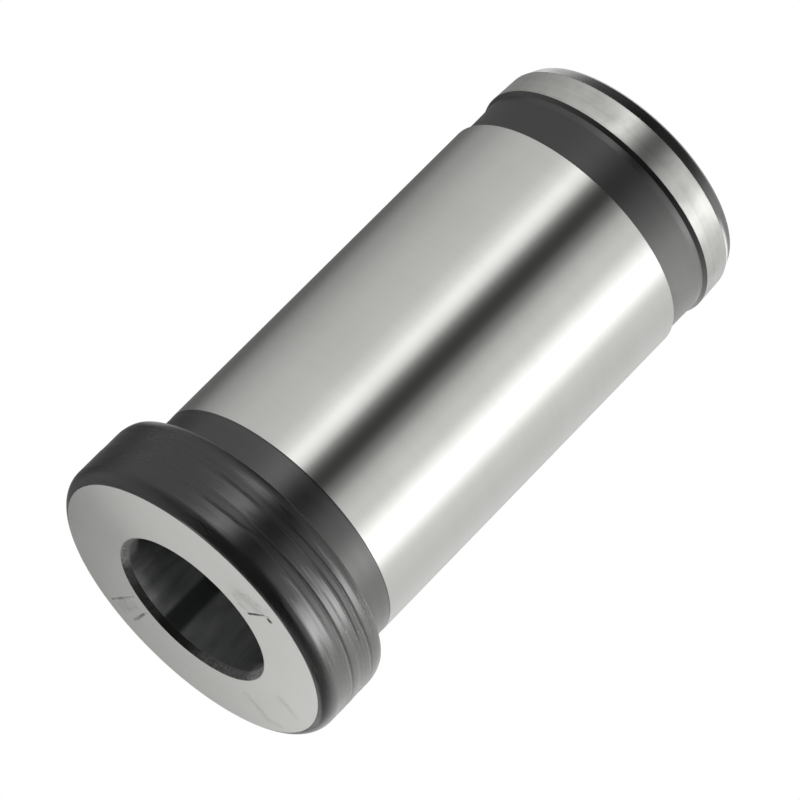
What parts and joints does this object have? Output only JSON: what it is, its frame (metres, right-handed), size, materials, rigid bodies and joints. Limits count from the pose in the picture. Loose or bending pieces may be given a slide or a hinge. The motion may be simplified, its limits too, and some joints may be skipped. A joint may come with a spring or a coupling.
{
  "type": "taper collet sleeve",
  "caption": "Flanged round tool sleeve: a ground cylindrical shank to clamp in a lathe tool block, with a self-holding taper socket through its middle for a drill or reamer shank.",
  "frame": {"origin": "centre of the flat rear face, at the small end of the socket", "axes": "+Z runs along the sleeve's axis from the rear face to the front face of the flange; the sleeve is a body of revolution, so +X and +Y are free"},
  "size_m": [0.0472, 0.047, 0.091],
  "materials": {
    "sleeve_steel": "Hardened steel. The front face, the long body and the narrow rear ring are ground bright; the flange's rim and edges, the neck, the relief band, the lead-in chamfer and the socket are black oxide over turned steel."
  },
  "bodies": {
    "root": {"taper_sleeve": "sleeve_steel"}
  },
  "joints": []
}
